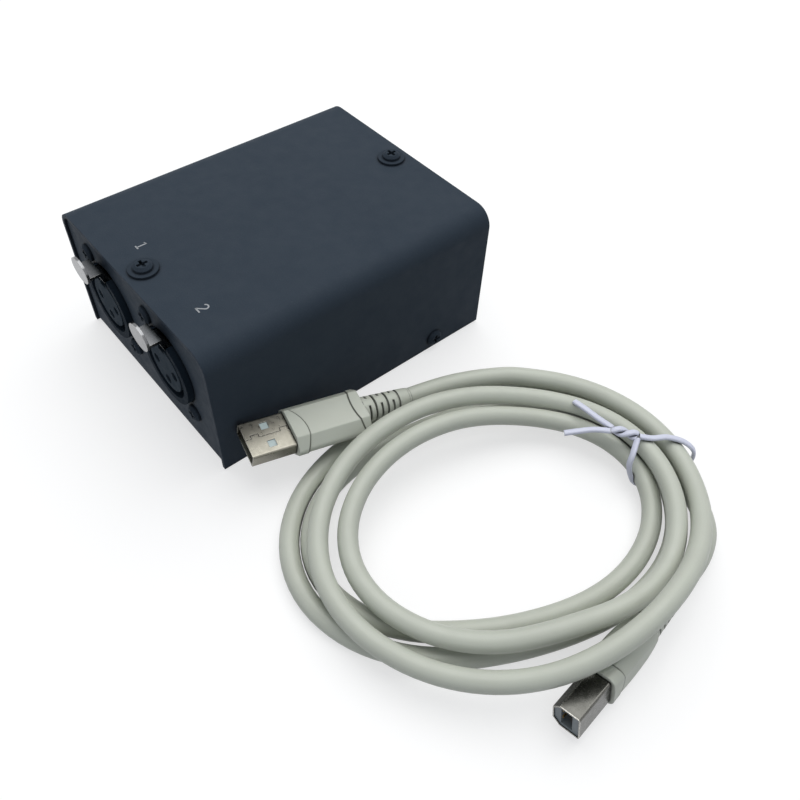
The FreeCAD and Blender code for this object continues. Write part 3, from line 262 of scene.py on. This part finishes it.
def vector(tree, name, *inputs):
    return operation(tree, "ShaderNodeVectorMath", name, *inputs)


class Finish:
    """A principled material with nodes added in object space."""

    def __init__(self, name, colour, rough, metal=0.0, level=0.5):
        self.mat = bpy.data.materials.new(name)
        self.mat.use_nodes = True
        self.tree = self.mat.node_tree
        self.shader = self.tree.nodes["Principled BSDF"]
        self.shader.inputs["Base Color"].default_value = colour
        self.shader.inputs["Roughness"].default_value = rough
        self.shader.inputs["Metallic"].default_value = metal
        self.shader.inputs["Specular IOR Level"].default_value = level
        self.space = self.tree.nodes.new("ShaderNodeTexCoord").outputs["Object"]
        self.rough = rough
        self.normal = None
        self.colour = None

    def add(self, kind, **inputs):
        node = self.tree.nodes.new(kind)
        for name, value in inputs.items():
            node.inputs[name.replace("_", " ")].default_value = value
        return node

    def join(self, output, target):
        self.tree.links.new(output, target)

    def noise(self, scale, detail=3.0):
        node = self.add("ShaderNodeTexNoise", Scale=scale, Detail=detail, Roughness=NOISE_ROUGH)
        self.join(self.space, node.inputs["Vector"])
        return node.outputs["Fac"]

    def cells(self, scale):
        node = self.add("ShaderNodeTexVoronoi", Scale=scale)
        self.join(self.space, node.inputs["Vector"])
        return node.outputs["Distance"]

    def spread(self, source, low, high, to_low=0.0, to_high=1.0):
        node = self.add("ShaderNodeMapRange", From_Min=low, From_Max=high,
                        To_Min=to_low, To_Max=to_high)
        self.join(source, node.inputs["Value"])
        return node.outputs["Result"]

    def blend(self, share, colour):
        """Mix another colour in by a share."""
        node = self.tree.nodes.new("ShaderNodeMix")
        node.data_type = "RGBA"
        first, second = [item for item in node.inputs if item.type == "RGBA"]
        second.default_value = colour
        if self.colour is None:
            first.default_value = self.shader.inputs["Base Color"].default_value
        else:
            self.join(self.colour, first)
        self.join(share, node.inputs["Factor"])
        self.colour = [item for item in node.outputs if item.type == "RGBA"][0]
        self.join(self.colour, self.shader.inputs["Base Color"])

    def mottle(self, colour, scale, detail, low, high, share):
        """Another colour in soft patches, where a noise lies between two values."""
        self.blend(self.spread(self.noise(scale, detail), low, high, 0, share), colour)

    def edges_worn_and_highlit(self, colour, radius, share):
        """Another colour along edges and none on flats: rubbed paint, and a painted highlight on
        plate and vinyl.
        """
        bevel = self.add("ShaderNodeBevel", Radius=radius)
        bevel.samples = BEVEL_SAMPLES
        flat = self.tree.nodes.new("ShaderNodeNewGeometry")
        same = vector(self.tree, "DOT_PRODUCT", bevel.outputs["Normal"], flat.outputs["Normal"])
        wear_and_highlight = self.spread(same, WEAR_AND_HIGHLIGHT_BEGINS, WEAR_AND_HIGHLIGHT_FULL)
        self.blend(scalar(self.tree, "MULTIPLY", wear_and_highlight, share), colour)

    def crease(self, colour, distance=0.0008, share=0.7, open_at=0.92, shut_at=0.45):
        """Painted shade: a darker colour in grooves and where pieces meet, where ambient
        occlusion finds them.
        """
        node = self.add("ShaderNodeAmbientOcclusion", Distance=distance)
        node.samples = CREASE_SAMPLES
        self.blend(self.spread(node.outputs["AO"], open_at, shut_at, 0.0, share), colour)

    def groove(self, colour, at, turn, centre, plane, radius):
        """Painted shade of a groove: a dark line on a plug where a millimetre circle in its own
        frame meets the surface.
        """
        own = self.add("ShaderNodeMapping", Location=at, Rotation=turn, Scale=(MM, MM, MM))
        own.vector_type = "TEXTURE"
        self.join(self.space, own.inputs["Vector"])
        off = vector(self.tree, "SUBTRACT", own.outputs["Vector"], centre)
        far = vector(self.tree, "LENGTH", vector(self.tree, "MULTIPLY", off, plane))
        miss = scalar(self.tree, "ABSOLUTE", scalar(self.tree, "SUBTRACT", far, radius))
        self.blend(self.spread(miss, GROOVE_DARK, GROOVE_GONE, GROOVE_SHARE, 0.0), colour)

    def fade(self, colour, axis, near, far, share):
        """Another colour that fades out along an axis."""
        node = self.tree.nodes.new("ShaderNodeSeparateXYZ")
        self.join(self.space, node.inputs[0])
        self.blend(self.spread(node.outputs[axis], near, far, share, 0.0), colour)

    def uneven(self, source, less, more):
        """Roughness that wanders about the finish's own."""
        found = self.spread(source, NOISE_LOW, NOISE_HIGH, self.rough - less, self.rough + more)
        self.join(found, self.shader.inputs["Roughness"])

    def set_normal(self, output):
        self.normal = output
        self.join(output, self.shader.inputs["Normal"])

    def soft_edges(self, radius):
        """Edges that look rounded."""
        node = self.add("ShaderNodeBevel", Radius=radius)
        node.samples = BEVEL_SAMPLES
        self.set_normal(node.outputs["Normal"])

    def bump(self, source, distance, strength=1.0):
        """Fine relief on top of the normal so far."""
        node = self.add("ShaderNodeBump", Distance=distance, Strength=strength)
        self.join(source, node.inputs["Height"])
        if self.normal is not None:
            self.join(self.normal, node.inputs["Normal"])
        self.set_normal(node.outputs["Normal"])


# Materials
# Painted shade: the near-black put in the creases and corners of the black finishes
CREASE_SHADE = linear(12, 15, 19)
VINYL_SOFT = 0.08
VINYL_DEPTHS = (0.001, 0.001, 0.0008)


def powder_coat():
    made = Finish("powder_coat", linear(48, 57, 67), rough=0.6, level=0.07)
    made.soft_edges(radius=0.0004)
    made.mottle(linear(51, 60, 70), scale=60, detail=3, low=0.35, high=0.7, share=0.5)
    made.mottle(linear(60, 69, 79), scale=3200, detail=2, low=0.55, high=0.75, share=0.5)
    made.edges_worn_and_highlit(linear(88, 96, 106), radius=0.0005, share=0.3)
    # Painted shade in the corners and recesses of the sheet metal
    made.crease(CREASE_SHADE, distance=0.0018, share=0.85)
    made.uneven(made.noise(scale=260), less=0.05, more=0.08)
    made.bump(made.noise(scale=2600, detail=2), distance=0.00003)
    made.bump(made.cells(scale=1500), distance=0.00002, strength=0.6)
    return made.mat


def satin_black(name, colour, rough, grain=1800.0):
    made = Finish(name, colour, rough, level=0.03)
    made.soft_edges(radius=0.0002)
    made.edges_worn_and_highlit(linear(76, 86, 98), radius=0.0002, share=0.15)
    # Painted shade in the creases and recesses
    made.crease(CREASE_SHADE)
    made.uneven(made.noise(scale=500), less=0.08, more=0.08)
    made.bump(made.noise(scale=grain, detail=2), distance=0.00001)
    return made.mat


def plated(name, colour, rough, tarnish, shine=0.6, edge=0.00025):
    made = Finish(name, colour, rough, metal=1.0)
    made.soft_edges(radius=0.00015)
    made.mottle(tarnish, scale=330, detail=4, low=0.4, high=0.75, share=0.5)
    # Painted highlight: a pale colour along the edges of the plate
    made.edges_worn_and_highlit(linear(222, 220, 214), radius=edge, share=shine)
    # Painted shade in the seams and recesses of the plate, such as the shell's seam line
    made.crease(linear(34, 33, 30), distance=0.0006, share=0.95, open_at=0.95, shut_at=0.6)
    made.uneven(made.noise(scale=900, detail=4), less=0.05, more=0.06)
    made.bump(made.noise(scale=2400, detail=2), distance=0.0000015)
    return made


def chrome():
    """Bright plate with a painted reflection of the dark panel: darker towards the panel that it
    mirrors.
    """
    made = plated("chrome_plating", linear(142, 143, 146), rough=0.2,
                  tarnish=linear(130, 131, 134), shine=0.95, edge=0.00024)
    # Painted reflection: the plate darkens towards the panel
    made.fade(linear(44, 48, 51), axis="Y", near=-0.052, far=-0.0582, share=0.92)
    return made.mat


def vinyl(name, colour, shade, rough):
    made = Finish(name, colour, rough, level=0.45)
    made.shader.inputs["Subsurface Weight"].default_value = VINYL_SOFT
    made.shader.inputs["Subsurface Radius"].default_value = VINYL_DEPTHS
    made.soft_edges(radius=0.0005)
    made.mottle(shade, scale=70, detail=3, low=0.4, high=0.75, share=0.5)
    # Painted highlight: a pale line along the edges of the vinyl
    made.edges_worn_and_highlit(linear(228, 230, 224), radius=0.0006, share=0.35)
    # Painted shade in creases and where the vinyl meets other pieces: its own colour darkened
    dark = darker(colour, share=0.16)
    made.crease(dark)
    made.crease(dark, distance=0.0004, share=0.8, open_at=0.97, shut_at=0.7)
    made.uneven(made.noise(scale=350), less=0.06, more=0.08)
    made.bump(made.noise(scale=1400, detail=2), distance=0.000012)
    return made


# Where the plugs lie and the curved edges of the raised bands of their grips, as in the CAD:
# a circle's centre and radius in millimetres, in the plane of the plug that it is drawn in.
PLUG_A_AT, PLUG_A_TURN = (0.04635, -0.04622, 0.0114), (6.0, 6.9, 77.9)
PLUG_B_AT, PLUG_B_TURN = (0.15196, -0.02963, 0.007), (-12.7, 1.9, 95.6)
ACROSS, UPRIGHT = (1, 1, 0), (1, 0, 1)
BANDS_A = (((6.5, -2.5, 0), ACROSS, 10.7), ((51.2, 0, 0), ACROSS, 19.2))
BANDS_B = (((7.4, 0, 2.0), UPRIGHT, 9.0),)
GREY_PVC = {"colour": linear(190, 194, 182), "shade": linear(182, 185, 174), "rough": 0.42}


def grip(name, at, turn, bands):
    """The lead's vinyl with a painted shade line at each band's edge."""
    made = vinyl(name, **GREY_PVC)
    radians = [math.radians(part) for part in turn]
    for centre, plane, radius in bands:
        # Painted shade: each groove line in a darker grey
        made.groove(linear(92, 94, 84), at, radians, centre, plane, radius)
    return made.mat


def plain(name, colour, rough, metal=0.0):
    made = Finish(name, colour, rough, metal)
    made.soft_edges(radius=0.0001)
    made.mottle(darker(colour, share=0.7), scale=300, detail=3, low=0.4, high=0.7, share=0.4)
    made.bump(made.noise(scale=1500, detail=2), distance=0.000008)
    return made.mat


LOOKS = {
    "black_steel": powder_coat(),
    "black_screw": satin_black("black_oxide", linear(48, 56, 65), rough=0.6),
    "black_casting": satin_black("black_lacquer", linear(28, 37, 46), rough=0.7),
    "black_moulding": satin_black("black_moulding", linear(49, 59, 68), rough=0.7, grain=900.0),
    "white_moulding": plain("white_moulding", linear(232, 232, 228), rough=0.4),
    "gold_contact": plain("gold_plating", linear(222, 178, 98), rough=0.25, metal=1.0),
    "nickel": plated("nickel_plating", linear(136, 134, 125), rough=0.3,
                     tarnish=linear(120, 118, 109)).mat,
    "steel": plain("bare_steel", linear(176, 178, 180), rough=0.35, metal=1.0),
    "board_green": plain("solder_mask", linear(22, 92, 50), rough=0.35),
    "black_chip": plain("chip_resin", linear(38, 38, 40), rough=0.5),
    "can_aluminium": plain("can_sleeve", linear(190, 192, 196), rough=0.3, metal=1.0),
    "grey_pvc": vinyl("grey_vinyl", **GREY_PVC).mat,
    "tie_white": vinyl("white_vinyl", linear(212, 215, 231), shade=linear(200, 203, 222),
                       rough=0.38).mat,
}
CHROME = chrome()
# Nodes whose look in the photograph differs from that of the rest of their slot
OWN_LOOKS = {
    "usb_a_body": grip("grip_a_vinyl", PLUG_A_AT, PLUG_A_TURN, BANDS_A),
    "usb_b_body": grip("grip_b_vinyl", PLUG_B_AT, PLUG_B_TURN, BANDS_B),
    "usb_b_core": plain("grey_moulding", linear(112, 121, 126), rough=0.45),
    "usb_a_tongue": plain("tongue_moulding", linear(196, 212, 212), rough=0.45),
    # A darker copy of the nickel: painted shade for the darker surroundings that this shell
    # reflects, and a painted highlight along its edges
    "usb_b_shell": plated("nickel_painted_shade", linear(88, 88, 85), rough=0.26,
                          tarnish=linear(68, 68, 65), shine=0.95, edge=0.0005).mat,
    "latch_1": CHROME,
    "latch_2": CHROME,
}
# Degrees between two faces from which their edge stays sharp
SHARP_FROM = 32

for part in frame["record"]["subparts"]:
    item = nodes[part["node"]]
    item.data.materials.clear()
    item.data.materials.append(OWN_LOOKS.get(part["node"], LOOKS[part["material_slot"]]))
for node in nodes.values():
    node.data.shade_smooth()
    node.data.set_sharp_from_angle(angle=math.radians(SHARP_FROM))

# Each leaf spring gets a mesh of its own; in the object the lever's tail presses it up to its
# roof
for index in (1, 2):
    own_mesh(nodes["latch_spring_%d" % index])

# The lead
cord_curve = nurbs("usb_lead", cord_route(), CORD_WIDE / 2)
cord = link("usb_lead", cord_curve, LOOKS["grey_pvc"])
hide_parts("cable_coil", "cable_lead_a", "cable_lead_b")
line = centreline(cord_curve)

# Twist tie, in millimetres
STRIP_WIDE, STRIP_THICK = 1.8, 1.1
STRIP_SIDES = 12
STRIP_POWER = 0.7
STRIP_SHARP_FROM = 50
LOOP_STEPS, TAIL_STEPS = 8, 4
TWISTS, TWIST_STEPS = 1.0, 18
# The two ends stand this share of the strip's thickness from the twist's middle.
TWIST_SHARE = 0.68
# Where each free end arches: a share of its way, millimetres up
TAIL_ARCH = ((0.35, 0.4), (0.7, 0.3))


def way_at(points, index):
    """The direction of a line of points at one of them."""
    return (points[min(index + 1, len(points) - 1)] - points[max(index - 1, 0)]).normalized()


def over(x, y, z):
    """A point at least as high as a strip that rests on the lead there."""
    reach = CORD_WIDE / 2 + STRIP_THICK / 2
    best = STRIP_THICK / 2
    for point in line:
        off = math.hypot(point.x - x, point.y - y)
        if off < reach:
            best = max(best, point.z + math.sqrt(reach * reach - off * off))
    return Vector((x, y, max(best, z)))


def rounded(points, count):
    """Points of a smooth line through the given ones."""
    found = []
    ends = [points[0] * 2 - points[1]] + points + [points[-1] * 2 - points[-2]]
    for before, start, end, after in zip(ends, ends[1:], ends[2:], ends[3:]):
        for step in range(count):
            share = step / count
            found.append(0.5 * (2 * start + (end - before) * share
                                + (2 * before - 5 * start + 4 * end - after) * share ** 2
                                + (3 * start - before - 3 * end + after) * share ** 3))
    return found + [points[-1]]


def strip_mesh(name, points, level):
    """A flat strip with rounded edges along points; a level one keeps its width flat."""
    verts, faces = [], []
    side = None
    for index, point in enumerate(points):
        way = way_at(points, index)
        if side is None or level:
            side = way.cross(UP).normalized()
        side = (side - way * side.dot(way)).normalized()
        lift = side.cross(way).normalized()
        for turn in range(STRIP_SIDES):
            angle = 2 * math.pi * turn / STRIP_SIDES
            flat, tall = math.cos(angle), math.sin(angle)
            across = math.copysign(abs(flat) ** STRIP_POWER, flat) * STRIP_WIDE / 2
            rise = math.copysign(abs(tall) ** STRIP_POWER, tall) * STRIP_THICK / 2
            verts.append((point + side * across + lift * rise) * MM)
    for index in range(len(points) - 1):
        for turn in range(STRIP_SIDES):
            this = index * STRIP_SIDES + turn
            following = index * STRIP_SIDES + (turn + 1) % STRIP_SIDES
            faces.append((this, following, following + STRIP_SIDES, this + STRIP_SIDES))
    last = (len(points) - 1) * STRIP_SIDES
    faces.append(tuple(range(STRIP_SIDES))[::-1])
    faces.append(tuple(range(last, last + STRIP_SIDES)))
    mesh = bpy.data.meshes.new(name)
    mesh.from_pydata(verts, [], faces)
    mesh.shade_smooth()
    mesh.set_sharp_from_angle(angle=math.radians(STRIP_SHARP_FROM))
    return mesh


def tie_strip(name, points, count, level=False):
    mesh = strip_mesh(name, rounded(points, count), level)
    return link(name, mesh, LOOKS["tie_white"])


knot = over(112.1, 42.2, 14.3)
fork = over(105.6, 38.3, 14.2)
tips = (over(91.7, 38.5, 13.4), Vector((97.4, 28.2, 12.2)))
# Over the laps to the outside, down, under them along the floor and up inside
loop = [
    knot + Vector((0.4, 0.3, 0)), over(115.2, 45.2, 14.0), over(117.5, 49.0, 13.7),
    over(121.0, 52.1, 12.8), Vector((123.8, 53.6, 11.0)), Vector((124.6, 54.6, 7.6)),
    Vector((124.0, 54.4, 3.6)), Vector((121.6, 50.0, 1.2)), Vector((119.8, 43.0, 1.2)),
    Vector((118.8, 37.6, 2.6)), Vector((117.0, 35.9, 6.6)), Vector((115.8, 35.6, 10.4)),
    over(114.9, 37.2, 12.8), knot + Vector((0.6, -0.8, 0.1)),
]
tie = tie_strip("tie_loop", loop, LOOP_STEPS)


def strand(side):
    """One end of the tie: twisted round the other to the fork, then free."""
    axis = (fork - knot).normalized()
    across = axis.cross(UP).normalized()
    rise = across.cross(axis)
    points = []
    for step in range(TWIST_STEPS + 1):
        share = step / TWIST_STEPS
        angle = math.pi * side + 2 * math.pi * TWISTS * share
        off = across * math.cos(angle) + rise * math.sin(angle)
        points.append(knot.lerp(fork, share) + off * STRIP_THICK * TWIST_SHARE)
    points += [fork.lerp(tips[side], share) + UP * up for share, up in TAIL_ARCH]
    return tie_strip("tie_tail_%d" % (side + 1), points + [tips[side]], TAIL_STEPS, level=True)


strands = [strand(side) for side in (0, 1)]
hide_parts("twist_tie")

# Numerals on the cover: places and strokes in millimetres, heights in metres
PRINT = plain("grey_print", linear(150, 154, 158), rough=0.6)
COVER_TOP = 0.045
PRINT_THICK = 0.00002
PRINT_WIDE = 0.42


def printed(name, strokes, x, y):
    """Flat strokes on the cover, each a line of millimetre points about a place."""
    verts, faces = [], []
    for stroke in strokes:
        points = [Vector((along + x, up + y, 0)) for along, up in stroke]
        base = len(verts)
        for index, point in enumerate(points):
            way = way_at(points, index)
            side = Vector((-way.y, way.x, 0)) * PRINT_WIDE / 2
            for edge in (point + side, point - side):
                verts.append(Vector((edge.x * MM, edge.y * MM, COVER_TOP + PRINT_THICK)))
        for index in range(len(points) - 1):
            near = base + index * 2
            faces.append((near, near + 1, near + 3, near + 2))
    mesh = bpy.data.meshes.new(name)
    mesh.from_pydata(verts, [], faces)
    link(name, mesh, PRINT)


def arc(x, y, radius, first, last, count):
    turns = [math.radians(first + (last - first) * step / count) for step in range(count + 1)]
    return [(x + radius * math.cos(turn), y + radius * math.sin(turn)) for turn in turns]


ONE = [[(-0.75, 1.05), (0.0, 1.6), (0.0, -1.6)], [(-0.8, -1.6), (0.8, -1.6)]]
TWO_BOW = arc(x=0.0, y=0.75, radius=0.85, first=165, last=-35, count=14)
TWO = [TWO_BOW + [(-0.95, -1.55)], [(-1.1, -1.6), (1.0, -1.6)]]
printed("numeral_1", ONE, x=-9.5, y=-39.3)
printed("numeral_2", TWO, x=23.0, y=-39.3)

# Floor, sky and lamps
FLOOR_GREY = (0.42, 0.42, 0.42, 1)
FLOOR_HALF = 4.0
FLOOR_LEVEL = -0.0002
# The floor's glow grows from one strength to another between two distances.
FLOOR_GLOW = (("From Min", 0.35), ("From Max", 1.5), ("To Min", 0.62), ("To Max", 0.9))
SKY_GREY = (0.34, 0.36, 0.39, 1)
WHITE = (1, 1, 1, 1)
LAMPS_AIM = (0.06, 0, 0)


def seen(tree):
    """One for the rays that see the ground: the camera's, glossy and transmitted ones."""
    rays = tree.nodes.new("ShaderNodeLightPath").outputs
    found = scalar(tree, "MAXIMUM", rays["Is Camera Ray"], rays["Is Glossy Ray"])
    return scalar(tree, "MAXIMUM", found, rays["Is Transmission Ray"])


def stage_floor():
    """Grey for the light that falls on it, with a glow that makes it white to look at."""
    mat = bpy.data.materials.new("floor")
    mat.use_nodes = True
    tree = mat.node_tree
    tree.nodes.clear()
    out = tree.nodes.new("ShaderNodeOutputMaterial")
    add = tree.nodes.new("ShaderNodeAddShader")
    diffuse = tree.nodes.new("ShaderNodeBsdfDiffuse")
    diffuse.inputs["Color"].default_value = FLOOR_GREY
    glow = tree.nodes.new("ShaderNodeEmission")
    place = tree.nodes.new("ShaderNodeTexCoord")
    away = vector(tree, "LENGTH", place.outputs["Object"])
    brighter = tree.nodes.new("ShaderNodeMapRange")
    for name, value in FLOOR_GLOW:
        brighter.inputs[name].default_value = value
    tree.links.new(away, brighter.inputs["Value"])
    strength = scalar(tree, "MULTIPLY", seen(tree), brighter.outputs["Result"])
    tree.links.new(strength, glow.inputs["Strength"])
    tree.links.new(diffuse.outputs[0], add.inputs[0])
    tree.links.new(glow.outputs[0], add.inputs[1])
    tree.links.new(add.outputs[0], out.inputs["Surface"])
    mesh = bpy.data.meshes.new("floor")
    corners = [(x * FLOOR_HALF, y * FLOOR_HALF, 0)
               for x, y in ((-1, -1), (1, -1), (1, 1), (-1, 1))]
    mesh.from_pydata(corners, [], [(0, 1, 2, 3)])
    floor = bpy.data.objects.new("floor", mesh)
    floor.location.z = FLOOR_LEVEL
    mesh.materials.append(mat)
    scene.collection.objects.link(floor)


def sky():
    """White to look at and grey for the light that it gives."""
    world = bpy.data.worlds.new("studio")
    scene.world = world
    world.use_nodes = True
    tree = world.node_tree
    back = tree.nodes["Background"]
    back.inputs["Color"].default_value = SKY_GREY
    white = tree.nodes.new("ShaderNodeBackground")
    white.inputs["Color"].default_value = WHITE
    mix = tree.nodes.new("ShaderNodeMixShader")
    tree.links.new(seen(tree), mix.inputs[0])
    tree.links.new(back.outputs[0], mix.inputs[1])
    tree.links.new(white.outputs[0], mix.inputs[2])
    tree.links.new(mix.outputs[0], tree.nodes["World Output"].inputs["Surface"])


def lamp(name, at, size, power, colour):
    """A round lamp that faces the part."""
    data = bpy.data.lights.new(name, "AREA")
    data.shape = "DISK"
    data.size = size
    data.energy = power
    data.color = colour
    item = bpy.data.objects.new(name, data)
    item.location = at
    way = Vector(LAMPS_AIM) - Vector(at)
    item.rotation_euler = way.to_track_quat("-Z", "Y").to_euler()
    scene.collection.objects.link(item)


stage_floor()
sky()
lamp("key", at=(-0.2, 0.3, 1.1), size=1.4, power=12.0, colour=(1.0, 0.99, 0.97))
lamp("fill", at=(0.6, -0.7, 0.5), size=0.8, power=0.5, colour=(0.93, 0.96, 1.0))
